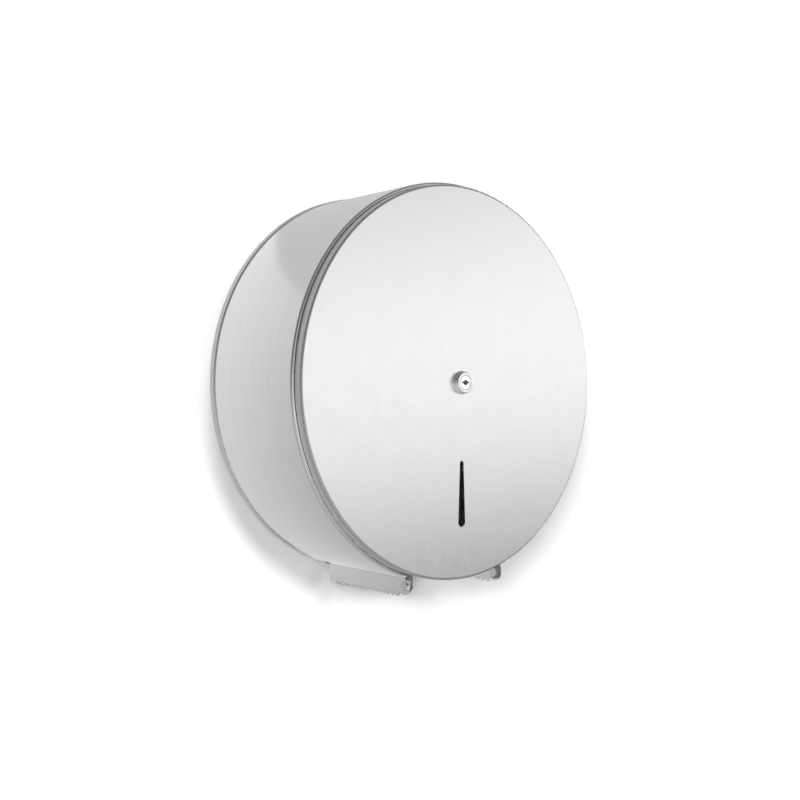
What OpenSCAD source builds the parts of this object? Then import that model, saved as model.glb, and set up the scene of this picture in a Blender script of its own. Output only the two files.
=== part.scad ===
/* Jumbo toilet roll dispenser: a round steel drum on a wall, closed by a
   locked cover that hinges at the bottom.
   Origin: centre of the rear face, on the wall. The front looks along -Y, +Z is up.
   "h" in a name is a distance from the wall, so it lies at Y = -h. */

/* [Case] */
// Outer radius of the cover
cover_r = 150; // [110:1:185]
// Distance from the wall to the cover's outer face
case_d = 111; // [90:1:140]
// Thickness of the steel sheet
sheet_t = 0.8; // [0.6:0.1:1.2]
// Bend radius round the cover's face, outside
cover_bend_r = 2; // [1.4:0.1:4]
// Depth of the cover's lip, face included
lip_d = 11; // [9:0.5:14]
// Width of the lip that stays in sight in front of the drum
lip_reveal = 7.5; // [5:0.5:8]
// Length of the folded edge on the lip
lip_fold = 2.4; // [1.5:0.1:3]
// Radial gap between the lip and the drum's turned-in edge
lip_gap = 0.7; // [0.4:0.1:1.5]
// Bend radius of the drum's turned-in front edge, outside
drum_turn_r = 1.8; // [1.5:0.1:4]
// Thickness of the back plate
plate_t = 1.2; // [0.8:0.1:2]
// Depth of the back plate's rim round the drum
rim_d = 4.5; // [3:0.5:8]
// Thickness of the back plate's rim
rim_t = 0.8; // [0.6:0.1:1.2]
// Play left where one sheet is slipped inside another
slip_gap = 0.1; // [0.05:0.05:0.3]

/* [Wall holes] */
// Distance between the wall holes, across
wall_hole_dx = 150; // [100:1:160]
// Distance between the wall holes, up and down
wall_hole_dz = 150; // [100:1:160]
// Radius of each wall hole
wall_hole_r = 3; // [2.5:0.1:4]

/* [Paper exit and blades] */
// Half the distance between the two blades, to the middle of the sheet
blade_x = 48; // [40:1:60]
// Bend radius from the drum into a blade, to the middle of the sheet
blade_bend_r = 3; // [2:0.5:8]
// Height of the flat of a blade below its bend
blade_flat = 12.9; // [10:0.1:16]
// Distance from the wall to a blade's rear edge
blade_h0 = 9; // [8:1:20]
// Radius of a blade's rear corner
blade_corner_r = 3; // [1:0.5:5]
// Distance between neighbouring teeth
tooth_pitch = 5; // [4:0.5:8]
// Depth of the notch between two teeth
tooth_depth = 1.8; // [1:0.1:2.5]
// Width of the flat tip of a tooth
tooth_tip = 0.9; // [0.4:0.1:1.5]
// Plain edge left behind the first tooth
tooth_margin = 7; // [4:1:10]

/* [Hinge] */
// Distance from the cover's outer face back to the hinge axis
hinge_setback = 10.3; // [9:0.1:12]
// Radius of a hinge pin's shank
pin_r = 2; // [1.5:0.1:2.5]
// Radius of a hinge pin's heads
pin_head_r = 4; // [2.6:0.1:4.4]
// Room between a hinge pin's heads and the blade's bend above them
pin_head_room = 0; // [0:0.1:1]
// Thickness of a hinge pin's heads
pin_head_t = 1.4; // [1:0.1:2]
// Radial play of the pin in the cover's ear
pin_play = 0.08; // [0.03:0.01:0.1]
// Radius of the blade's rounded front tab
tab_r = 7.3; // [6:0.1:8]
// Distance from the cover's outer face back to the tab's front edge
tab_setback = 4.8; // [4:0.1:7]
// Radius of the ear's rounded end
ear_r = 5.5; // [5:0.1:7]
// Thickness of an ear
ear_t = 1.5; // [1:0.1:2]
// Gap between an ear and its blade
ear_gap = 0.3; // [0.2:0.1:0.6]
// Height of an ear's foot on the cover
foot_l = 24; // [15:1:30]
// Width of an ear's foot on the cover
foot_w = 18; // [12:1:25]
// Thickness of a hinge washer
hinge_washer_t = 0.6; // [0.4:0.1:1]
// Outer radius of a hinge washer
hinge_washer_r = 4.5; // [3.5:0.1:5]

/* [Level slot] */
// Distance from the cover's centre down to the slot's upper end
slot_top = 59.5; // [50:0.5:65]
// Length of the slot
slot_l = 50.5; // [30:0.5:55]
// Width of the slot at its upper end
slot_w_top = 3.8; // [3:0.1:6]
// Width of the slot at its lower end
slot_w_low = 7.2; // [6.5:0.1:9]

/* [Lock] */
// Radius of the lock's collar on the cover
collar_r = 9; // [7.5:0.1:12]
// How much the collar narrows to its front
collar_taper = 0.8; // [0.2:0.1:1.2]
// Height of the collar above the cover
collar_l = 4.4; // [3:0.1:9]
// Width of the collar's shoulder on the cover, round the barrel
collar_shoulder = 1.6; // [1.2:0.1:2.5]
// Length of the lock behind the cover's outer face
barrel_l = 13; // [11:0.5:16]
// Wall of the lock's threaded barrel, thread included
barrel_wall = 2.1; // [1.2:0.1:2.6]
// Radial play of the plug
plug_play = 0.08; // [0.03:0.01:0.1]
// Radius of the plug's round neck
neck_r = 3.4; // [2.8:0.1:3.8]
// Length of the neck between the barrel and the cam
neck_l = 5; // [4.5:0.5:6]
// Width of the shoulder between the neck's rim and the corners of its square end
neck_shoulder = 0.3; // [0.2:0.1:0.6]
// Length of the cam, tip to tip
cam_l = 18; // [15:0.5:18.5]
// Width of the cam
cam_w = 6; // [5.5:0.1:6.5]
// Thickness of the cam
cam_t = 2; // [1.5:0.1:3]
// Radius of the cam screw's head
cam_screw_head_r = 3.5; // [3:0.1:4]
// Thickness of the cam screw's head
cam_screw_head_t = 2; // [1.5:0.1:2.5]
// Radius of the cam screw's shank
cam_screw_r = 1.2; // [1:0.1:1.5]
// Length of the cam screw's shank in the plug
cam_screw_l = 7; // [5:0.5:8]
// Radius of the plate that backs the cover round the lock
lock_plate_r = 28; // [20:1:40]
// Thickness of that plate
lock_plate_t = 1.2; // [0.8:0.1:2]
// Thickness of the lock's washer
lock_washer_t = 1; // [0.8:0.1:1.5]
// Width of the lock's washer round the barrel
lock_washer_ring = 4; // [3:0.5:6]
// Thickness of the lock's nut
nut_t = 4; // [3:0.5:5]
// Least width of the nut round the barrel
nut_ring = 2; // [1.5:0.1:3]

/* [Spindle and keeper] */
// Outer radius of the spindle tube
spindle_r = 11; // [9:0.1:14]
// Wall of the spindle tube
spindle_wall = 1.5; // [1:0.1:2]
// Room left behind the cam screw, inside the keeper
keeper_room = 5; // [4:0.5:8]
// Length of spindle that the keeper grips
keeper_grip = 6; // [5:0.5:8]
// Wall of the keeper
keeper_wall = 3; // [2:0.1:3]
// Thickness of the keeper's slotted end
keeper_end_t = 2; // [1.5:0.1:3]
// Gap between the keeper's end and the cam behind it
keeper_gap = 1; // [0.5:0.1:1.5]
// Play of the cam in the keeper's slot, at each tip
slot_play_x = 1; // [0.6:0.1:1.5]
// Play of the cam and its screw in the keeper's slot, on each side
slot_play_z = 1; // [0.6:0.1:1.5]
// Radius of the keeper's grub screw
grub_r = 2; // [1.5:0.1:2]
// Radius of the spindle's flange
flange_r = 32; // [30:1:40]
// Thickness of the spindle's flange
flange_t = 2; // [1.5:0.1:3]
// Wall of the boss on the spindle's flange
boss_wall = 4; // [3:0.5:6]
// Height of the boss above its flange
boss_l = 3.8; // [3:0.1:6]
// Radius of the circle that the flange's rivets lie on
rivet_pc_r = 25; // [22:0.5:26]
// Radius of a rivet's shank
rivet_r = 2; // [1.5:0.1:2.5]
// Radius of a rivet's head
rivet_head_r = 4; // [3:0.1:4.5]
// Thickness of a rivet's head
rivet_head_t = 1.8; // [1:0.1:2.5]

/* [Roll hub] */
// Outer radius of the hub, which a roll's core slides over
hub_r = 21; // [20:0.5:22.5]
// Thickness of the hub's outer skin
hub_skin = 2; // [1.5:0.1:2.5]
// Wall of the hub's inner sleeve
hub_sleeve = 1.8; // [1.4:0.1:2]
// Number of webs between sleeve and skin
hub_webs = 6; // [3:1:8]
// Thickness of a web
hub_web_t = 1.8; // [1.2:0.1:2.5]
// Radius of the hub's rear flange
hub_flange_r = 34; // [30:1:45]
// Thickness of the hub's rear flange
hub_flange_t = 2; // [1.5:0.1:3]
// Wall of a bush
bush_wall = 3; // [2:0.1:3]
// Length of a bush
bush_l = 10; // [8:1:15]
// Radial play of a bush on the spindle
bush_play = 0.08; // [0.03:0.01:0.1]
// Thickness of a thrust washer
thrust_t = 0.8; // [0.5:0.1:1.5]
// Gap between the hub and the washer at each end
hub_end_gap = 0.3; // [0.2:0.1:0.6]

/* [Hidden] */
$fn = 120;

steel = [0.80, 0.81, 0.82];
bright_steel = [0.88, 0.88, 0.89];
zinc = [0.66, 0.68, 0.70];
grey_plastic = [0.35, 0.36, 0.38];
cream_plastic = [0.90, 0.88, 0.82];
cut = 1;                                  // how far a cutter runs past what it cuts

// Drum: its front edge is turned in and clears the lip inside it
fold_t = 2 * sheet_t;
edge_in_r = cover_r + lip_gap;
drum_r = edge_in_r + drum_turn_r;
drum_in_r = drum_r - sheet_t;
drum_front = case_d - lip_reveal;
turn_h = drum_front - drum_turn_r;
rim_in_r = drum_r + slip_gap;
rim_r = rim_in_r + rim_t;
face_in = case_d - sheet_t;
lip_h = case_d - lip_d;

// Bend from the drum into a blade: its centre lies outside the drum
drum_mid_r = drum_r - sheet_t / 2;
bend_x = blade_x + blade_bend_r;
bend_z = -sqrt(pow(drum_mid_r + blade_bend_r, 2) - pow(bend_x, 2));
exit_angle = atan2(bend_x, -bend_z);
bend_relief = 0.4;                        // slit between a bend and the turned-in edge
bend_thinning = 0.01;
bend_tuck = 0.2;
blade_low = bend_z - blade_flat;
blade_in_x = blade_x - sheet_t / 2;
blade_out_x = blade_x + sheet_t / 2;

// Hinge
hinge_h = case_d - hinge_setback;
hinge_z = bend_z - pin_head_r - pin_head_room;
ear_out_x = blade_in_x - ear_gap;
ear_in_x = ear_out_x - ear_t;
ear_front = hinge_h + ear_r;
tab_h = case_d - tab_setback - tab_r;
edge_angle = asin(blade_in_x / edge_in_r);
hinge_washer_play = 0.1;
hinge_washer_x = ear_in_x - hinge_washer_play - hinge_washer_t;

// Teeth: as many whole notches as fit between the blade's ends
tooth_overlap = 2;                        // how far the last notch may run in under the tab
tooth_h0 = blade_h0 + tooth_margin;
tooth_h1 = tab_h - tab_r + tooth_overlap;
tooth_count = floor((tooth_h1 - tooth_h0) / tooth_pitch);

// Lock, from the cover's face backwards
barrel_r = collar_r - collar_shoulder;
plug_r = barrel_r - barrel_wall;
square_w = sqrt(2) * (neck_r - neck_shoulder);
collar_front = case_d + collar_l;
barrel_rear = case_d - barrel_l;
lock_plate_h = face_in - lock_plate_t;
lock_washer_h = lock_plate_h - lock_washer_t;
nut_h = lock_washer_h - nut_t;
cam_front = barrel_rear - neck_l;
cam_rear = cam_front - cam_t;
cam_screw_rear = cam_rear - cam_screw_head_t;
hole_play = 0.1;
thread_depth = 0.5;
thread_pitch = 2;
lock_washer_r = barrel_r + lock_washer_ring;

// Keeper and spindle
keeper_rear_of_end = cam_front + keeper_gap;
keeper_front = keeper_rear_of_end + keeper_end_t;
spindle_end = cam_screw_rear - keeper_room;
slot_x = cam_l / 2 + slot_play_x;
slot_z = max(cam_w / 2, neck_r, cam_screw_head_r) + slot_play_z;
keeper_bore_r = spindle_r + 0.05;
chamber_r = max(keeper_bore_r, norm([slot_x, slot_z]) + 0.03);
keeper_r = chamber_r + keeper_wall;
keeper_rear = spindle_end - keeper_grip;
grub_h = keeper_rear + keeper_grip / 2;
flange_front = plate_t + flange_t;
boss_r = spindle_r + boss_wall;
boss_front = flange_front + boss_l;

// Hub: it fills the spindle between the two thrust washers
hub_h0 = boss_front + thrust_t + hub_end_gap;
hub_h1 = keeper_rear - thrust_t - hub_end_gap;
bush_in_r = spindle_r + bush_play;
bush_r = bush_in_r + bush_wall;
hub_bore_r = bush_r + 0.02;
sleeve_r = hub_bore_r + hub_sleeve;
thrust_r = sleeve_r + 1;
hub_lead = 1.2;

/* Shared shapes */

// Stands a flat outline (x, z) up and gives it depth from h0 to h1
module slab(h0, h1) {
    translate([0, -h0, 0]) rotate([90, 0, 0]) linear_extrude(h1 - h0) children();
}

// Turns an outline (radius, h) round the drum's axis
module turned() {
    rotate([90, 0, 0]) rotate_extrude() children();
}

// A disc or ring round the drum's axis
module ring(r_out, r_in, h0, h1) {
    slab(h0, h1) difference() {
        circle(r_out);
        if (r_in > 0) circle(r_in);
    }
}

// Outline (radius, h) of a disc with a rounded front edge
module dished_outline(r, h0, h1, bend) {
    translate([0, h0]) square([r, h1 - bend - h0]);
    translate([0, h1 - bend - cut]) square([r - bend, bend + cut]);
    translate([r - bend, h1 - bend]) circle(bend, $fn = 48);
}

// A plate standing fore and aft, from its outline (h, z)
module side_plate(x0, x1) {
    translate([x1, 0, 0]) rotate([90, 0, -90]) linear_extrude(x1 - x0) children();
}

// A round bar along X on the hinge axis
module hinge_bar(r, x0, x1) {
    side_plate(x0, x1) translate([hinge_h, hinge_z]) circle(r);
}

// The left twin of a piece modelled on the right
module left_twin() {
    mirror([1, 0, 0]) children();
}

// A wedge from the drum's axis over the paper exit, as an outline (x, z)
module exit_wedge(angle) {
    reach = 2 * drum_r;
    polygon([[0, 0],
             [reach * sin(angle), -reach * cos(angle)],
             [-reach * sin(angle), -reach * cos(angle)]]);
}

/* Fixed body */

// Disc on the wall; its rim wraps the drum's rear edge
module back_plate() {
    color(steel) difference() {
        turned() {
            square([rim_r, plate_t]);
            translate([rim_in_r, 0]) square([rim_t, rim_d]);
        }
        for (sx = [-1, 1], sz = [-1, 1])
            translate([sx * wall_hole_dx / 2, 0, sz * wall_hole_dz / 2])
                ring(wall_hole_r, 0, -cut, plate_t + cut);
        rivet_places() ring(rivet_r + hole_play, 0, -cut, plate_t + cut);
    }
}

// Section of the drum's wall with its turned-in front edge, as (radius, h)
module drum_section() {
    difference() {
        dished_outline(drum_r, plate_t, drum_front, drum_turn_r);
        dished_outline(drum_in_r, plate_t - cut, drum_front - sheet_t, drum_turn_r - sheet_t);
        square([edge_in_r, case_d]);
    }
}

// Curved sheet that leads the wall down into the right blade, as (x, z). It is
// stretched a little thinner by the bend, and its ends tuck into wall and blade
module blade_bend() {
    reach = 2 * blade_bend_r;
    half_t = sheet_t / 2 - bend_thinning;
    tuck = bend_tuck / blade_bend_r * 180 / PI;
    translate([bend_x, bend_z]) intersection() {
        difference() {
            circle(blade_bend_r + half_t);
            circle(blade_bend_r - half_t);
        }
        polygon([[0, 0], [-reach, -reach * tan(tuck)], [-reach, reach],
                 [-reach * sin(exit_angle - tuck), reach * cos(exit_angle - tuck)]]);
    }
}

// Flat of a blade with its teeth and its round front tab, as (h, z)
module blade_outline() {
    corner = blade_corner_r;
    difference() {
        union() {
            translate([blade_h0, blade_low + corner])
                square([tab_h - blade_h0, blade_flat - corner]);
            translate([blade_h0 + corner, blade_low])
                square([tooth_h1 - blade_h0 - corner, corner + cut]);
            translate([blade_h0 + corner, blade_low + corner]) circle(corner);
            translate([tab_h, hinge_z]) circle(tab_r);
            translate([tab_h, hinge_z]) square([tab_r, bend_z - hinge_z]);
        }
        translate([0, bend_z]) square([case_d, tab_r]);
        for (i = [0 : tooth_count - 1])
            translate([tooth_h0 + (i + 0.5) * tooth_pitch, blade_low])
                polygon([[-(tooth_pitch - tooth_tip) / 2, -cut],
                         [-(tooth_pitch - tooth_tip) / 2, 0],
                         [0, tooth_depth],
                         [(tooth_pitch - tooth_tip) / 2, 0],
                         [(tooth_pitch - tooth_tip) / 2, -cut]]);
        translate([hinge_h, hinge_z]) circle(pin_r + 0.02);
    }
}

// One blade with its bend, on the right
module blade() {
    slab(blade_h0, turn_h - bend_relief) blade_bend();
    side_plate(blade_in_x, blade_out_x) blade_outline();
}

// Wrapped sheet: nearly a full ring, turned down into a blade at each end. Its
// turned-in edge reaches a little further, to the blades
module drum_band() {
    color(steel) {
        difference() {
            turned() drum_section();
            slab(0, turn_h) exit_wedge(exit_angle);
            slab(turn_h - cut, case_d) exit_wedge(edge_angle);
        }
        blade();
        left_twin() blade();
    }
}

module rivet_places() {
    for (a = [45 : 90 : 315])
        translate([rivet_pc_r * cos(a), 0, rivet_pc_r * sin(a)]) children();
}

// Flange that carries the spindle on the back plate
module spindle_flange() {
    color(zinc) difference() {
        turned() {
            translate([0, plate_t]) square([flange_r, flange_t]);
            translate([0, plate_t]) square([boss_r, flange_t + boss_l]);
        }
        ring(spindle_r + 0.02, 0, 0, boss_front + cut);
        rivet_places() ring(rivet_r + hole_play, 0, 0, flange_front + cut);
    }
}

// Four rivets through flange and back plate, flush at the wall
module spindle_rivets() {
    chamfer = rivet_head_t / 2;
    color(zinc) rivet_places() turned()
        polygon([[0, 0], [rivet_r, 0], [rivet_r, flange_front], [rivet_head_r, flange_front],
                 [rivet_head_r, flange_front + rivet_head_t - chamfer],
                 [rivet_head_r - chamfer, flange_front + rivet_head_t],
                 [0, flange_front + rivet_head_t]]);
}

// Fixed tube that the hub turns on
module spindle_tube() {
    color(zinc) difference() {
        ring(spindle_r, spindle_r - spindle_wall, plate_t, spindle_end);
        grub_bore();
    }
}

module thrust_washer_rear() {
    color(bright_steel) ring(thrust_r, spindle_r + hole_play, boss_front, boss_front + thrust_t);
}

module thrust_washer_front() {
    color(bright_steel) ring(thrust_r, spindle_r + hole_play, keeper_rear - thrust_t, keeper_rear);
}

// Cup on the spindle's end; the cam passes its slot and turns behind its end
module lock_keeper() {
    color(zinc) difference() {
        ring(keeper_r, 0, keeper_rear, keeper_front);
        ring(keeper_bore_r, 0, keeper_rear - cut, keeper_rear_of_end);
        if (chamber_r > keeper_bore_r) ring(chamber_r, 0, spindle_end, keeper_rear_of_end);
        slab(keeper_rear, keeper_front + cut) square([2 * slot_x, 2 * slot_z], center = true);
        grub_bore();
    }
}

// Bore for the grub screw, straight up from the spindle's axis
module grub_bore() {
    translate([0, -grub_h, 0]) cylinder(r = grub_r + 0.02, h = keeper_r + cut);
}

module keeper_grub_screw() {
    socket_r = grub_r / 2;
    socket_l = 1.8;
    low = spindle_r - spindle_wall;
    color(zinc) difference() {
        translate([0, -grub_h, low]) cylinder(r = grub_r, h = keeper_r - low);
        translate([0, -grub_h, keeper_r - socket_l]) cylinder(r = socket_r, h = socket_l + cut, $fn = 6);
    }
}

// Rivet that the right ear turns on, with its tail inside the ear
module hinge_pin() {
    edge = pin_head_t / 2;
    color(bright_steel) translate([0, -hinge_h, hinge_z]) rotate([0, 90, 0]) rotate_extrude()
        polygon([[0, hinge_washer_x - pin_head_t], [pin_head_r, hinge_washer_x - pin_head_t],
                 [pin_head_r, hinge_washer_x], [pin_r, hinge_washer_x], [pin_r, blade_out_x],
                 [pin_head_r, blade_out_x], [pin_head_r, blade_out_x + pin_head_t - edge],
                 [pin_head_r - edge, blade_out_x + pin_head_t], [0, blade_out_x + pin_head_t]]);
}

module hinge_pin_right() {
    hinge_pin();
}

module hinge_pin_left() {
    left_twin() hinge_pin();
}

module hinge_washer() {
    color(grey_plastic) difference() {
        hinge_bar(hinge_washer_r, hinge_washer_x, hinge_washer_x + hinge_washer_t);
        hinge_bar(pin_r + hole_play, hinge_washer_x - cut, hinge_washer_x + hinge_washer_t + cut);
    }
}

module hinge_washers() {
    hinge_washer();
    left_twin() hinge_washer();
}

/* Turning hub */

// Two-walled hub with webs, and a flange behind the roll
module core_hub() {
    color(cream_plastic) difference() {
        union() {
            ring(hub_r, hub_r - hub_skin, hub_h0, hub_h1);
            ring(sleeve_r, hub_bore_r, hub_h0, hub_h1);
            ring(hub_flange_r, hub_bore_r, hub_h0, hub_h0 + hub_flange_t);
            slab(hub_h0, hub_h1) hub_web_outline();
        }
        turned() polygon([[hub_r - hub_lead, hub_h1], [hub_r + cut, hub_h1 - hub_lead - cut],
                          [hub_r + cut, hub_h1 + cut], [hub_r - hub_lead, hub_h1 + cut]]);
    }
}

module hub_web_outline() {
    inside = sleeve_r - hub_sleeve / 2;
    outside = hub_r - hub_skin / 2;
    for (i = [0 : hub_webs - 1])
        rotate(i * 360 / hub_webs)
            translate([inside, -hub_web_t / 2]) square([outside - inside, hub_web_t]);
}

module bush_rear() {
    color(grey_plastic) ring(bush_r, bush_in_r, hub_h0, hub_h0 + bush_l);
}

module bush_front() {
    color(grey_plastic) ring(bush_r, bush_in_r, hub_h1 - bush_l, hub_h1);
}

/* Cover */

// Face, bend, lip and the lip's folded edge
module cover_section() {
    difference() {
        dished_outline(cover_r, lip_h, case_d, cover_bend_r);
        dished_outline(cover_r - sheet_t, lip_h - cut, face_in, cover_bend_r - sheet_t);
    }
    translate([cover_r - fold_t, lip_h]) square([fold_t, lip_fold]);
}

// Sight slot, wider at its lower end, as (x, z)
module level_slot() {
    r_top = slot_w_top / 2;
    r_low = slot_w_low / 2;
    z_top = -slot_top - r_top;
    z_low = -slot_top - slot_l + r_low;
    lean = asin((r_low - r_top) / (z_top - z_low));
    translate([0, z_top]) circle(r_top, $fn = 48);
    translate([0, z_low]) circle(r_low, $fn = 48);
    polygon([[r_top * cos(lean), z_top + r_top * sin(lean)],
             [r_low * cos(lean), z_low + r_low * sin(lean)],
             [-r_low * cos(lean), z_low + r_low * sin(lean)],
             [-r_top * cos(lean), z_top + r_top * sin(lean)]]);
}

// Slit in the lip that the right ear hangs through
module ear_slit() {
    side_plate(ear_in_x - slip_gap, ear_out_x + slip_gap)
        translate([lip_h - cut, -cover_r]) square([ear_front + hole_play - lip_h + cut, cover_r / 2]);
}

module cover_shell() {
    color(steel) difference() {
        turned() cover_section();
        ring(barrel_r + hole_play, 0, face_in - cut, case_d + cut);
        slab(face_in - cut, case_d + cut) level_slot();
        ear_slit();
        left_twin() ear_slit();
    }
}

// Disc that backs the cover's sheet round the lock
module lock_plate() {
    color(zinc) ring(lock_plate_r, barrel_r + hole_play, lock_plate_h, face_in);
}

// Foot on the cover's inside, and an ear down through the lip to the pin
module hinge_ear() {
    foot_low = -sqrt(pow(cover_r - fold_t, 2) - pow(ear_out_x, 2)) + 1.5;
    foot_high = foot_low + foot_l;
    ear_rear = hinge_h - ear_r;
    color(zinc) {
        translate([ear_out_x - foot_w, -face_in, foot_low]) cube([foot_w, ear_t, foot_l]);
        side_plate(ear_in_x, ear_out_x) difference() {
            union() {
                translate([hinge_h, hinge_z]) circle(ear_r);
                translate([ear_rear, hinge_z]) square([2 * ear_r, foot_high - 6 - hinge_z]);
                translate([ear_rear + 4, foot_low]) square([face_in - ear_rear - 4, foot_l]);
            }
            translate([hinge_h, hinge_z]) circle(pin_r + pin_play);
        }
    }
}

module hinge_ear_right() {
    hinge_ear();
}

module hinge_ear_left() {
    left_twin() hinge_ear();
}

// Collar in front of the cover and threaded barrel behind it, in one piece
module lock_body() {
    groove_w = 0.6;
    groove_d = 0.5;
    edge = 0.7;
    front_r = collar_r - collar_taper;
    color(bright_steel) difference() {
        turned() {
            polygon([[0, case_d], [collar_r, case_d],
                     [front_r, collar_front - edge], [0, collar_front - edge]]);
            translate([0, case_d]) square([front_r - edge, collar_l]);
            translate([front_r - edge, collar_front - edge]) circle(edge, $fn = 32);
            translate([0, barrel_rear]) square([barrel_r, barrel_l + cut]);
        }
        ring(plug_r + plug_play, 0, barrel_rear - cut, collar_front + cut);
        ring(plug_r + groove_w, 0, collar_front - groove_d, collar_front + cut);
        for (h = [barrel_rear + thread_pitch / 2 : thread_pitch : nut_h - thread_pitch])
            turned() polygon([[barrel_r - thread_depth, h], [barrel_r + cut, h - thread_depth - cut],
                              [barrel_r + cut, h + thread_depth + cut]]);
    }
}

module lock_washer() {
    color(bright_steel) ring(lock_washer_r, barrel_r + hole_play, lock_washer_h, lock_plate_h);
}

module lock_nut() {
    color(bright_steel) slab(nut_h, lock_washer_h) difference() {
        circle((barrel_r + nut_ring) / cos(30), $fn = 6);
        circle(barrel_r + 0.02);
    }
}

/* Turning plug */

// Plug with its keyhole in front, a neck and a square end for the cam
module lock_plug() {
    keyhole_r = 2;
    keyhole_d = 7;
    ward_l = 7.6;
    ward_w = 1.4;
    plug_recess = 0.2;
    plug_front = collar_front - plug_recess;
    color(bright_steel) difference() {
        union() {
            ring(plug_r, 0, barrel_rear, plug_front);
            ring(neck_r, 0, cam_front, barrel_rear + cut);
            slab(cam_rear, cam_front + cut) square(square_w, center = true);
        }
        slab(plug_front - keyhole_d, plug_front + cut) {
            circle(keyhole_r, $fn = 48);
            square([ward_l, ward_w], center = true);
        }
        ring(cam_screw_r + 0.02, 0, cam_rear - cut, cam_rear + cam_screw_l + cut);
    }
}

// Two-ended cam on the plug's square
module lock_cam() {
    color(zinc) slab(cam_rear, cam_front) difference() {
        intersection() {
            square([cam_l, cam_w], center = true);
            circle(cam_l / 2);
        }
        square(square_w + 0.1, center = true);
    }
}

module cam_screw() {
    driver_w = 0.9;
    driver_d = 1;
    color(zinc) difference() {
        union() {
            ring(cam_screw_head_r, 0, cam_screw_rear, cam_rear);
            ring(cam_screw_r, 0, cam_screw_rear, cam_rear + cam_screw_l);
        }
        slab(cam_screw_rear - cut, cam_screw_rear + driver_d)
            square([2 * cam_screw_head_r + cut, driver_w], center = true);
    }
}

back_plate();
drum_band();
spindle_flange();
spindle_rivets();
spindle_tube();
thrust_washer_rear();
thrust_washer_front();
lock_keeper();
keeper_grub_screw();
hinge_pin_left();
hinge_pin_right();
hinge_washers();
core_hub();
bush_rear();
bush_front();
cover_shell();
lock_plate();
hinge_ear_left();
hinge_ear_right();
lock_body();
lock_washer();
lock_nut();
lock_plug();
lock_cam();
cam_screw();
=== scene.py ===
import math

import bmesh
import bpy
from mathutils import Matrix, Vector
from mathutils.geometry import tessellate_polygon


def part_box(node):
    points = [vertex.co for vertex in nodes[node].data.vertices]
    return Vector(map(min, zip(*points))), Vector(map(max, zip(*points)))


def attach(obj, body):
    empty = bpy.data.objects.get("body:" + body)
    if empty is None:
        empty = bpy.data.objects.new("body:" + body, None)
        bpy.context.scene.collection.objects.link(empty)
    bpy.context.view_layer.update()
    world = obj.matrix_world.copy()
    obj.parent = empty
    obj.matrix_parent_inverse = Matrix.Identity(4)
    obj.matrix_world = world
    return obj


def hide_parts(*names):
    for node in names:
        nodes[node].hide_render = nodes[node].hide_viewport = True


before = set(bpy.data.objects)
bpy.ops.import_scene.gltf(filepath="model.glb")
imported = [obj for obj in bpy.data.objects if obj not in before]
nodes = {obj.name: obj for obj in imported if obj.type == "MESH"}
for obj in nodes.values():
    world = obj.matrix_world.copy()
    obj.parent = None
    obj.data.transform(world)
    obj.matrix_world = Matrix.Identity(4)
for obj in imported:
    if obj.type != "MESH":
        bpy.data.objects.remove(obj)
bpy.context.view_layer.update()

scene = bpy.context.scene
scene.view_settings.view_transform = "Standard"


# Camera: it stands to the left of the dispenser and a little below its centre,
# where the sides of the drum, the cover and the rim fall as in the photograph.
def into_scene(name, data):
    made = bpy.data.objects.new(name, data)
    bpy.context.collection.objects.link(made)
    return made


camera_place = Vector((-0.5642, -0.6915, -0.0082))
camera_yaw = math.radians(40.85)
camera_pitch = math.radians(-0.36)
film_width = 36
focal_pixels, picture_pixels = 1060.8, 800
lens = bpy.data.cameras.new("camera")
lens.sensor_width = film_width
lens.lens = film_width * focal_pixels / picture_pixels
lens.clip_start = 0.01
lens.clip_end = 50
camera = into_scene("camera", lens)
camera.location = camera_place
camera.rotation_euler = (math.radians(90) + camera_pitch, 0, -camera_yaw)
scene.camera = camera


# Wall: painted board that the dispenser hangs on, white where no shadow falls. The
# steel mirrors instead a painted reflection, a glow the wall gives off to mirror rays only:
# a little greyer, brightest near the drum, with a plain upper edge.
def new_finish(name):
    finish = bpy.data.materials.new(name)
    finish.use_nodes = True
    finish.node_tree.nodes.clear()
    return finish, finish.node_tree


def add(tree, kind, inputs=None, **settings):
    """Adds one shader node; inputs are numbers or the outputs that feed them."""
    made = tree.nodes.new("ShaderNode" + kind)
    for key, value in settings.items():
        setattr(made, key, value)
    for key, value in (inputs or {}).items():
        if isinstance(value, bpy.types.NodeSocket):
            tree.links.new(value, made.inputs[key])
        else:
            made.inputs[key].default_value = value
    return made


def blend_by(tree, share, low, high, start=0.0, end=1.0, ease="LINEAR"):
    """A number that goes from low to high while share goes from start to end."""
    made = add(tree, "MapRange", {"Value": share, "From Min": start, "From Max": end,
                                  "To Min": low, "To Max": high}, interpolation_type=ease)
    return made.outputs[0]


def reckon(tree, how, a, b=0.0):
    return add(tree, "Math", {0: a, 1: b}, operation=how).outputs[0]


def times(tree, product, *factors):
    for factor in factors:
        product = reckon(tree, "MULTIPLY", product, factor)
    return product


def mix_shaders(tree, share, one, other):
    return add(tree, "MixShader", {0: share, 1: one, 2: other}).outputs[0]


def split(tree, place):
    """A place's x, y and z, and its distance from the drum's axis."""
    xyz = add(tree, "SeparateXYZ", {0: place}).outputs
    off_axis = add(tree, "CombineXYZ", {0: xyz["X"], 2: xyz["Z"]}).outputs[0]
    radius = add(tree, "VectorMath", {0: off_axis}, operation="LENGTH").outputs["Value"]
    return xyz["X"], xyz["Y"], xyz["Z"], radius


def matt_paint(tree, rays, colour, lift):
    """Matt paint, lifted a little where the camera sees it, so that it comes out white."""
    matt = add(tree, "BsdfDiffuse", {"Color": (*colour, 1)})
    lifted = add(tree, "Emission", {"Strength": reckon(tree, "MULTIPLY", rays["Is Camera Ray"], lift)})
    return add(tree, "AddShader", {0: matt.outputs[0], 1: lifted.outputs[0]}).outputs[0]


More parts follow.
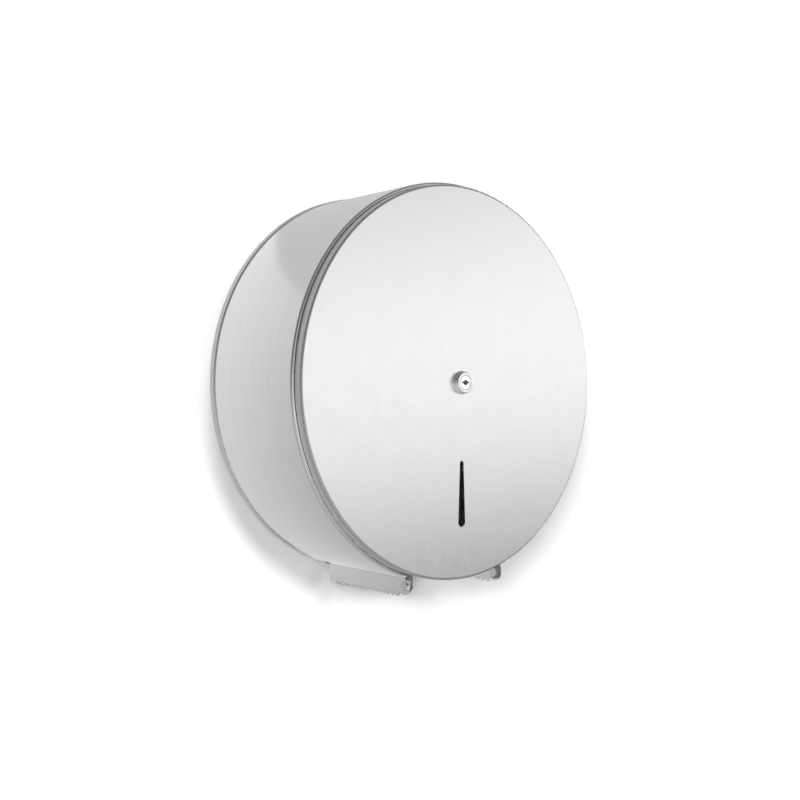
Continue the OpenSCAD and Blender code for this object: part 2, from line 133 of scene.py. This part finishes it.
def flat_board(name, corners, finish):
    mesh = bpy.data.meshes.new(name)
    mesh.from_pydata(corners, [], [(0, 1, 2, 3)])
    mesh.update()
    mesh.materials.append(finish)
    into_scene(name, mesh)


wall_gap = 0.0006
wall_side, wall_low, wall_high = 1.6, -1.0, 1.4
wall_white = 0.88
glow_near, glow_out, glow_end = 0.150, 0.255, 0.50
dim_z, bright_z = -0.20, 0.08
upper_edge_low, upper_edge_high, upper_grey = 0.117, 0.127, 0.72
wall_paint, tree = new_finish("wall_paint")
where = add(tree, "NewGeometry").outputs
rays = add(tree, "LightPath").outputs
_, _, height, radius = split(tree, where["Position"])
near_drum = blend_by(tree, radius, 0.975, 0.715, glow_near, glow_out)
far_away = blend_by(tree, radius, 1.0, 0.40, glow_out, glow_end)
lower = blend_by(tree, height, 0.72, 1.06, dim_z, bright_z)
above = blend_by(tree, height, 0.0, 1.0, upper_edge_low, upper_edge_high, "SMOOTHSTEP")
beside_drum = blend_by(tree, radius, 0.0, 1.0, glow_near, glow_near + 0.002, "SMOOTHSTEP")
mirrored = add(tree, "Mix", {0: times(tree, above, beside_drum), 2: times(tree, near_drum, far_away, lower),
                             3: upper_grey}, data_type="FLOAT").outputs[0]
# painted reflection: the wall's glow grows with each further bounce between metal faces, which lightens the
# gaps between them
in_corners = reckon(tree, "POWER", 1.5, reckon(tree, "SUBTRACT", rays["Glossy Depth"], 1.0))
not_after_matt = reckon(tree, "LESS_THAN", rays["Diffuse Depth"], 0.5)
glow = add(tree, "Emission", {"Strength": times(tree, mirrored, in_corners, not_after_matt)}).outputs[0]
seen = matt_paint(tree, rays, (wall_white, wall_white, wall_white), 0.005)
from_front = mix_shaders(tree, rays["Is Glossy Ray"], seen, glow)
see_through = add(tree, "BsdfTransparent").outputs[0]
both_sides = mix_shaders(tree, where["Backfacing"], from_front, see_through)
add(tree, "OutputMaterial", {0: both_sides})
flat_board("wall_board", [(-wall_side, wall_gap, wall_low), (wall_side, wall_gap, wall_low),
                          (wall_side, wall_gap, wall_high), (-wall_side, wall_gap, wall_high)], wall_paint)

# Floor: plain pale boards a metre below the dispenser, outside the main view. The
# steel doesn't mirror them, and they throw no light up onto the wall.
floor_side, floor_front = 3, -5
floor_paint, tree = new_finish("floor_paint")
rays = add(tree, "LightPath").outputs
seen = matt_paint(tree, rays, (0.82, 0.82, 0.81), 0.6)
see_through = add(tree, "BsdfTransparent").outputs[0]
by_light = reckon(tree, "MAXIMUM", rays["Is Glossy Ray"], rays["Is Diffuse Ray"])
add(tree, "OutputMaterial", {0: mix_shaders(tree, by_light, seen, see_through)})
flat_board("pale_floor", [(-floor_side, floor_front, wall_low), (floor_side, floor_front, wall_low),
                          (floor_side, wall_gap, wall_low), (-floor_side, wall_gap, wall_low)], floor_paint)


# Studio: white to the camera. The steel mirrors a room that is bright in front and to
# the right, brightest at its own height, and dim at the left above the same height.
def level_ramp(tree, value, stops):
    """Grey levels along a number from -1 to 1, eased between the stops."""
    share = add(tree, "MapRange", {"Value": value, "From Min": -1, "From Max": 1})
    made = add(tree, "ValToRGB", {"Fac": share.outputs[0]})
    made.color_ramp.interpolation = "B_SPLINE"
    marks = made.color_ramp.elements
    while len(marks) < len(stops):
        marks.new(0.5)
    for mark, (at, grey) in zip(marks, stops):
        mark.position = (at + 1) / 2
        mark.color = (grey, grey, grey, 1)
    return made.outputs[0]


def mix_colours(tree, share, one, other, how="MIX"):
    return add(tree, "Mix", {0: share, 6: one, 7: other}, data_type="RGBA", blend_type=how).outputs[2]


def along(tree, toward, direction):
    return add(tree, "VectorMath", {0: toward, 1: direction}, operation="DOT_PRODUCT").outputs["Value"]


studio = bpy.data.worlds.new("studio")
scene.world = studio
studio.use_nodes = True
tree = studio.node_tree
tree.nodes.clear()
bright_side = math.radians(43)
room_slope = 0.17
room_strength = 1.39
matt_level, matt_in_mirror = 0.05, 0.60
toward = add(tree, "TexCoord").outputs["Generated"]
rays = add(tree, "LightPath").outputs
height = add(tree, "SeparateXYZ", {0: toward}).outputs["Z"]
to_bright = along(tree, toward, (math.sin(bright_side), -math.cos(bright_side), 0))
sideways = along(tree, toward, (math.cos(bright_side), math.sin(bright_side), 0))
tilted = reckon(tree, "SUBTRACT", height, reckon(tree, "MULTIPLY", sideways, room_slope))
right_room = level_ramp(tree, tilted, [
    (-1.0, 0.20), (-0.30, 0.16), (-0.18, 0.22), (-0.15, 0.33), (-0.12, 0.56),
    (-0.09, 0.82), (-0.05, 0.96), (0.0, 1.0), (0.04, 1.0), (0.08, 0.96),
    (0.13, 0.87), (0.18, 0.74), (0.26, 0.55), (0.45, 0.28), (1.0, 0.18)])
left_room = level_ramp(tree, height, [
    (-1.0, 0.37), (-0.75, 0.54), (-0.45, 0.53), (-0.20, 0.43), (-0.08, 0.33),
    (0.0, 0.23), (0.08, 0.17), (0.19, 0.14), (0.40, 0.11), (1.0, 0.15)])
room = mix_colours(tree, blend_by(tree, to_bright, 0.0, 1.0, 0.30, 0.90, "SMOOTHSTEP"), left_room, right_room)
more_bounces = reckon(tree, "MINIMUM", reckon(tree, "SUBTRACT", rays["Glossy Depth"], 1.0), 3.0)
in_corners = reckon(tree, "POWER", 2.2, more_bounces)
lit_room = mix_colours(tree, 1.0, room, reckon(tree, "MULTIPLY", in_corners, room_strength), "MULTIPLY")
after_matt = reckon(tree, "GREATER_THAN", rays["Diffuse Depth"], 0.5)
for_matt = blend_by(tree, rays["Glossy Depth"], matt_level, matt_in_mirror)
for_steel = mix_colours(tree, after_matt, lit_room, for_matt)
for_camera = mix_colours(tree, rays["Is Camera Ray"], for_steel, (1, 1, 1, 1))
add(tree, "OutputWorld", {0: add(tree, "Background", {"Color": for_camera}).outputs[0]})


# Lamps: four wide and far, in front and to the left, so that soft shadows fall on the
# wall below the drum and to its right and left. They leave no glint on the steel.
def soft_lamp(name, azimuth, rise, width, share):
    """A lamp's angles are in degrees; its share is the part of the wall's white that it gives."""
    side, up = math.radians(azimuth), math.radians(rise)
    source = Vector((math.sin(side) * math.cos(up), -math.cos(side) * math.cos(up), math.sin(up)))
    light = bpy.data.lights.new(name, "SUN")
    light.angle = math.radians(width)
    light.energy = share * math.pi / wall_white / -source.y
    lamp = into_scene(name, light)
    lamp.location = source * 3
    lamp.rotation_euler = source.to_track_quat("Z", "Y").to_euler()
    lamp.visible_glossy = False


soft_lamp("lamp_front", 1, 15, 10, 0.38)
soft_lamp("lamp_low", 9, 5, 10, 0.16)
soft_lamp("lamp_left", -38, 20, 12, 0.10)
soft_lamp("lamp_side", -50, 13, 9, 0.37)


# Back plate: stainless sheet pressed to a shallow dish, as it comes from the mill. Its
# rim wraps the drum's rear edge, and wall screws go through its four holes.
def grain_place(tree, lay):
    """A place, the same with its first axis along the grain, its depth and its radius."""
    place = add(tree, "TexCoord").outputs["Object"]
    x, y, z, radius = split(tree, place)
    if lay == "up":
        axes = (z, x, y)
    elif lay == "fore":
        axes = (y, x, z)
    else:
        axes = (reckon(tree, "MULTIPLY", reckon(tree, "ARCTAN2", x, z), 0.15), y, radius)
    grain = add(tree, "CombineXYZ", dict(enumerate(axes))).outputs[0]
    return place, grain, y, radius


def noise(tree, place, scale, detail, rough=0.6):
    made = add(tree, "TexNoise", {"Vector": place, "Scale": scale, "Detail": detail, "Roughness": rough})
    return made.outputs[0]


def streaks(tree, grain, fine_along, fine_across):
    fineness = (fine_along, fine_across, fine_across)
    drawn_out = add(tree, "VectorMath", {0: grain, 1: fineness}, operation="MULTIPLY").outputs[0]
    return noise(tree, drawn_out, scale=1, detail=2)


def vary(tree, pattern, low, high, start=0.3, end=0.7):
    """A number that follows a noise, whose own values lie mostly from 0.3 to 0.7."""
    return blend_by(tree, pattern, low, high, start, end)


def toned(tree, tone, level):
    return mix_colours(tree, 1.0, (*tone, 1), level, "MULTIPLY")


def skin(tree, colour, dull, height, bump, metallic=1.0, depth=0.0001):
    """Ends a finish with its colour, how dull it is, and a fine relief of that height."""
    relief = add(tree, "Bump", {"Strength": bump, "Distance": depth, "Height": height}).outputs[0]
    surface = add(tree, "BsdfPrincipled", {"Base Color": colour, "Metallic": metallic, "Roughness": dull,
                                           "Normal": relief}).outputs[0]
    add(tree, "OutputMaterial", {0: surface})


def sheet_steel(name, tone, rough, lay, hairs=0.10, bands=0.03, clouds=0.03, rim=None):
    """Stainless sheet: ground hairlines, soft bands along the grain, faint clouds. A rim
    (from and to a radius, shade, duller by) is made darker and duller than the rest."""
    finish, tree = new_finish(name)
    place, grain, _, radius = grain_place(tree, lay)
    hair = streaks(tree, grain, fine_along=70, fine_across=7000)
    band = streaks(tree, grain, fine_along=14, fine_across=600)
    cloud = noise(tree, place, scale=55, detail=4)
    level = times(tree, vary(tree, hair, 1 - hairs, 1), vary(tree, band, 1 - bands, 1),
                  vary(tree, cloud, 1 - clouds, 1))
    dull = reckon(tree, "ADD", vary(tree, hair, rough - 0.03, rough + 0.03), vary(tree, cloud, -0.02, 0.02))
    if rim:
        start, end, shade, duller = rim
        level = times(tree, level, blend_by(tree, radius, 1, shade, start, end, "SMOOTHSTEP"))
        dull = reckon(tree, "ADD", dull, blend_by(tree, radius, 0, duller, start, end, "SMOOTHSTEP"))
    skin(tree, toned(tree, tone, level), dull, hair, bump=0.10)
    return finish


def dress(finish, *names):
    for name in names:
        for slot in nodes[name].material_slots:
            slot.material = finish


plate_rim_from, plate_rim_full = 0.1521, 0.1525
dress(sheet_steel("mill_sheet", (0.70, 0.70, 0.70), 0.30, "up", hairs=0.05, bands=0.05, clouds=0.06,
                  rim=(plate_rim_from, plate_rim_full, 0.80, 0.10)), "back_plate")

# Drum: one strip of satin stainless wrapped round, so its grain runs round the drum.
# Its front edge is turned in, and its two ends bend down into the serrated blades.
quarter = math.pi / 2
full_turn = 2 * math.pi
sheet = 0.0008
drum_outer = 0.1525
drum_rear, drum_front = 0.0012, 0.1035
turn_out = 0.0018
turn_start = drum_front - turn_out
lip_clear_r = drum_outer - turn_out
blade_x = 0.048
bend_r = 0.003
bend_x = blade_x + bend_r
bend_z = -math.sqrt((drum_outer - sheet / 2 + bend_r) ** 2 - bend_x ** 2)
exit_turn = math.atan2(bend_x, -bend_z)
edge_turn = math.asin((blade_x - sheet / 2) / lip_clear_r)


def arc(x, y, r, start, turn, steps):
    """Points round (x, y), from an angle on and over a turn, both ends included."""
    angles = [start + turn * k / steps for k in range(steps + 1)]
    return [(x + r * math.cos(angle), y + r * math.sin(angle)) for angle in angles]


def closed_sweep(shape, rings):
    """Adds rings of equal length one after the other as a closed bar with flat ends."""
    start = len(shape["points"])
    count = len(rings[0])
    last = start + (len(rings) - 1) * count
    for ring in rings:
        shape["points"].extend(ring)
    for first in range(start, last, count):
        for j in range(count):
            a, b = first + j, first + (j + 1) % count
            shape["faces"].append((a, b, b + count, a + count))
    shape["faces"].append(tuple(reversed(range(start, start + count))))
    shape["faces"].append(tuple(range(last, last + count)))


def round_drum(section, turn):
    """A section (radius, distance from the wall) at an angle from straight down."""
    return [(r * math.sin(turn), -h, -r * math.cos(turn)) for r, h in section]


# the turned-in edge: a quarter round of the sheet, in the section's (radius, distance)
outer_arc = arc(lip_clear_r, turn_start, turn_out, 0, quarter, 20)
inner_arc = arc(lip_clear_r, turn_start, turn_out - sheet, 0, quarter, 20)
edge_section = outer_arc + inner_arc[::-1]
reach = 0.00035
reach_from, reach_full = math.radians(26), math.radians(42)


def wall_section(turn):
    """The wall with its turned-in edge, which reaches closer to the lip away from the hinge."""
    off_exit = min(turn, full_turn - turn)
    share = min(max((off_exit - reach_from) / (reach_full - reach_from), 0.0), 1.0)
    tip = lip_clear_r - reach * share
    return ([(drum_outer, drum_rear)] + outer_arc[:-1] + [(tip, drum_front), (tip, drum_front - sheet)]
            + inner_arc[-2::-1] + [(drum_outer - sheet, drum_rear)])


drum = {"points": [], "faces": []}
round_steps = 420
round_turns = [exit_turn + (full_turn - 2 * exit_turn) * i / round_steps for i in range(round_steps + 1)]
closed_sweep(drum, [round_drum(wall_section(turn), turn) for turn in round_turns])

# past the wall's two ends the turned-in edge runs on by itself, as far as the blades
edge_tuck = 0.0004
edge_steps = 3
edge_step = (exit_turn + edge_tuck - edge_turn) / edge_steps
for first in (edge_turn, full_turn - exit_turn - edge_tuck):
    closed_sweep(drum, [round_drum(edge_section, first + i * edge_step) for i in range(edge_steps + 1)])

# a quarter bend takes the wall's end down into a blade; it is a hair thinner than the
# sheet and runs a little into both, so that no two faces lie in one place
bend_rear, bend_front = 0.009, turn_start - 0.0004
bend_out, bend_in = bend_r + 0.00039, bend_r - 0.00039
bend_tuck = 0.0002 / bend_r
bend_steps = 24
bend_section = [(bend_out, bend_rear), (bend_out, bend_front), (bend_in, bend_front), (bend_in, bend_rear)]
for side in (1, -1):
    rings = []
    for i in range(bend_steps + 1):
        turn = -bend_tuck + i * (quarter - exit_turn + 2 * bend_tuck) / bend_steps
        rings.append([(side * (bend_x - r * math.cos(turn)), -h, bend_z + r * math.sin(turn))
                      for r, h in bend_section])
    closed_sweep(drum, rings)

# a blade's outline (distance from the wall, height), from its rear corner to its tab
blade_low = bend_z - 0.0129
corner = 0.003
pin_z = bend_z - 0.004
pin_from_wall, pin_hole_r = 0.1007, 0.00202
tab_at, tab_r = 0.0989, 0.0073
notch_pitch, notch_deep, tooth_flat = 0.005, 0.0018, 0.0009
notch_half = (notch_pitch - tooth_flat) / 2
first_notch, notch_end = bend_rear + 0.007, tab_at - tab_r + 0.002
outline = arc(bend_rear + corner, blade_low + corner, corner, math.pi, quarter, 8)
for i in range(int((notch_end - first_notch) / notch_pitch)):
    middle = first_notch + (i + 0.5) * notch_pitch
    outline += [(middle - notch_half, blade_low), (middle, blade_low + notch_deep),
                (middle + notch_half, blade_low)]
outline += [(notch_end, blade_low), (notch_end, blade_low + corner)]
tab_start = math.pi + math.asin((pin_z - blade_low - corner) / tab_r)
outline += arc(tab_at, pin_z, tab_r, tab_start, full_turn - tab_start, 40)
outline += [(tab_at + tab_r, bend_z), (bend_rear, bend_z)]
pin_hole = arc(pin_from_wall, pin_z, pin_hole_r, 0, full_turn, 48)[:-1]


def add_stamping(shape, loops, thickness, place):
    """Adds a flat stamping (x, y), closed all round: its faces, its cut edge and its holes."""
    start = len(shape["points"])
    flat = [point for loop in loops for point in loop]
    count = len(flat)
    for z in (thickness / 2, -thickness / 2):
        shape["points"].extend(place(x, y, z) for x, y in flat)
    for corners in tessellate_polygon([[Vector((x, y, 0)) for x, y in loop] for loop in loops]):
        shape["faces"].append(tuple(start + c for c in corners))
        shape["faces"].append(tuple(start + count + c for c in reversed(corners)))
    first = start
    for loop in loops:
        for i in range(len(loop)):
            a, b = first + i, first + (i + 1) % len(loop)
            shape["faces"].append((a, b, b + count, a + count))
        first += len(loop)


def mesh_piece(name, shape, finish):
    """A piece from its points and faces, smooth but for edges of more than 20 degrees."""
    mesh = bpy.data.meshes.new(name)
    mesh.from_pydata(shape["points"], [], shape["faces"])
    mesh.validate()
    work = bmesh.new()
    work.from_mesh(mesh)
    bmesh.ops.recalc_face_normals(work, faces=work.faces)
    work.to_mesh(mesh)
    work.free()
    mesh.shade_smooth()
    mesh.set_sharp_from_angle(angle=math.radians(20))
    mesh.materials.append(finish)
    return into_scene(name, mesh)


for side in (1, -1):
    add_stamping(drum, [outline, pin_hole], sheet, lambda x, y, z: (side * blade_x + z, -x, y))
satin_strip = sheet_steel("satin_strip", (0.77, 0.77, 0.77), 0.20, "round", hairs=0.07, clouds=0.02)
drum_sheet = mesh_piece("drum_sheet", drum, satin_strip)
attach(drum_sheet, "case")
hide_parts("drum_band")


# Spindle: a flange with a boss, pressed and zinc plated, held on the back plate by
# four headed rivets; the fixed tube is bright drawn. Plain washers keep the hub in place.
def plated_steel(name, tone, rough, spangle=0.06):
    """Zinc coat: small crystals, cloudy patches, a soft orange-peel relief."""
    finish, tree = new_finish(name)
    place = add(tree, "TexCoord").outputs["Object"]
    cloud = noise(tree, place, scale=120, detail=4)
    peel = noise(tree, place, scale=1500, detail=2, rough=0.5)
    crystal = add(tree, "TexVoronoi", {"Vector": place, "Scale": 900, "Randomness": 1.0},
                  feature="F1").outputs["Color"]
    level = times(tree, vary(tree, cloud, 0.90, 1), vary(tree, crystal, 1 - spangle, 1, 0, 1))
    skin(tree, toned(tree, tone, level), vary(tree, cloud, rough + 0.06, rough - 0.06), peel, bump=0.15)
    return finish


def turned_steel(name, tone, rough, hairs=0.10, lay="round", painted_shade_and_dull=None):
    """Lathe-turned or drawn bar: fine rings or lines, a few deeper ones, slight wear.
    What lies in the zone of its last argument (within a radius, from, to, shade) is duller and painted darker
    as shade."""
    finish, tree = new_finish(name)
    place, grain, depth, radius = grain_place(tree, lay)
    ring = streaks(tree, grain, fine_along=3, fine_across=5000)
    groove = streaks(tree, grain, fine_along=1.5, fine_across=1400)
    wear = noise(tree, place, scale=180, detail=3)
    level = times(tree, vary(tree, ring, 1 - hairs, 1), vary(tree, wear, 0.96, 1))
    dull = reckon(tree, "ADD", vary(tree, ring, rough - 0.03, rough + 0.03),
                  vary(tree, wear, -0.02, 0.04, 0.35, 0.75))
    if painted_shade_and_dull:
        within, start, end, shade = painted_shade_and_dull
        # painted shade: the zone is made darker, and duller as well
        painted_shade_zone = times(tree, blend_by(tree, radius, 1, 0, within, within + 0.0001, "SMOOTHSTEP"),
                       blend_by(tree, depth, 0, 1, start + 0.0001, start + 0.0006, "SMOOTHSTEP"),
                       reckon(tree, "LESS_THAN", depth, end))
        level = times(tree, level, blend_by(tree, painted_shade_zone, 1, shade))
        dull = reckon(tree, "ADD", dull, blend_by(tree, painted_shade_zone, 0, 0.20))
    skin(tree, toned(tree, tone, level), dull, reckon(tree, "ADD", ring, groove), bump=0.12)
    return finish


zinc_coat = plated_steel("zinc_coat", (0.61, 0.62, 0.64), 0.38)
bright_bar = (0.70, 0.70, 0.71)
dress(zinc_coat, "spindle_flange")
dress(turned_steel("rivet_heads", bright_bar, 0.30, hairs=0.05), "spindle_rivets")
dress(turned_steel("drawn_tube", bright_bar, 0.22, lay="fore"), "spindle_tube")
dress(turned_steel("plain_washers", bright_bar, 0.28), "thrust_washer_rear", "thrust_washer_front")


# Hub: two-walled moulding in cream plastic with a flange behind the roll, on two
# bushes of grey self-oiling plastic that turn on the spindle.
def moulded_plastic(name, tone, rough):
    """Moulded plastic: fine spark-eroded skin, faint flow marks and small colour drift."""
    finish, tree = new_finish(name)
    place, grain, _, _ = grain_place(tree, "round")
    grit = noise(tree, place, scale=3500, detail=2, rough=0.5)
    drift = noise(tree, place, scale=45, detail=3, rough=0.5)
    marks = streaks(tree, grain, fine_along=12, fine_across=260)
    level = times(tree, vary(tree, drift, 0.95, 1), vary(tree, marks, 0.975, 1))
    dull = vary(tree, grit, rough - 0.06, rough + 0.06)
    skin(tree, toned(tree, tone, level), dull, grit, bump=0.35, metallic=0.0, depth=0.00005)
    return finish


dress(moulded_plastic("cream_moulding", (0.80, 0.79, 0.75), 0.45), "core_hub")
grey_plastic = moulded_plastic("grey_plastic", (0.20, 0.21, 0.22), 0.38)
dress(grey_plastic, "bush_rear", "bush_front")


# Keeper: zinc cup pinned to the spindle's end by a black grub screw. The lock's cam
# goes in through its slot and turns behind its end.
def black_screw(name):
    """Black oxide over steel, rubbed grey in small patches."""
    finish, tree = new_finish(name)
    place = add(tree, "TexCoord").outputs["Object"]
    rub = noise(tree, place, scale=1400, detail=5, rough=0.65)
    bare = blend_by(tree, rub, 0, 1, 0.60, 0.72, "SMOOTHSTEP")
    colour = mix_colours(tree, bare, (0.045, 0.045, 0.04725, 1), (0.22, 0.22, 0.22, 1))
    dull = vary(tree, rub, 0.48, 0.34, 0.35)
    skin(tree, colour, dull, rub, bump=0.2, metallic=0.7, depth=0.00005)
    return finish


dress(plated_steel("die_cast_zinc", (0.58, 0.59, 0.61), 0.42, spangle=0.10), "lock_keeper")
black_oxide = black_screw("black_oxide")
dress(black_oxide, "keeper_grub_screw")

# Cover: deep-drawn disc of fine satin stainless, its grain up and down. The rim that
# the press drew round it is made darker and duller than the face.
cover_rim_from, cover_rim_full = 0.1480, 0.1492
dress(sheet_steel("satin_cover", (0.79, 0.79, 0.79), 0.27, "up", hairs=0.035, bands=0.008, clouds=0.025,
                  rim=(cover_rim_from, cover_rim_full, 0.76, 0.15)), "cover_shell")

# Hinge: two ears of dull steel strip fixed inside the cover, their grey darkened by painted
# shade, turn on stainless pins, which are riveted through the blades' front tabs, each with
# a thin grey plastic washer.
dress(sheet_steel("dull_strip_painted_shade", (0.33, 0.33, 0.33), 0.42, "up", hairs=0.12, bands=0.08, clouds=0.10),
      "hinge_ear_left", "hinge_ear_right")
dress(turned_steel("pin_heads", (0.66, 0.66, 0.66), 0.24, hairs=0.06), "hinge_pin_left", "hinge_pin_right")
dress(grey_plastic, "hinge_washers")

# Lock: turned and nickel-plated body on a zinc-plated backing plate, with its washer and
# nut, a bright plug that takes the key, and a pressed cam held on the plug by a screw.
collar_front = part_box("lock_body")[0][1]
collar_deep, collar_reach = 0.0060, 0.0120
plug_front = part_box("lock_plug")[0][1]
keyhole_deep, keyhole_reach = 0.0073, 0.0040
dress(zinc_coat, "lock_plate", "lock_cam")
# the side of the collar, behind its front, is painted darker as shade and made duller
dress(turned_steel("satin_nickel", (0.74, 0.735, 0.72), 0.20, hairs=0.05,
                   painted_shade_and_dull=(collar_reach, collar_front, collar_front + collar_deep, 0.72)), "lock_body")
dress(turned_steel("nut_nickel", (0.62, 0.61, 0.59), 0.26, hairs=0.05), "lock_washer", "lock_nut")
# the inside of the keyhole is painted darker as shade and made duller
dress(turned_steel("bright_nickel", (0.84, 0.835, 0.82), 0.16, hairs=0.04,
                   painted_shade_and_dull=(keyhole_reach, plug_front, plug_front + keyhole_deep, 0.55)), "lock_plug")
dress(black_oxide, "cam_screw")
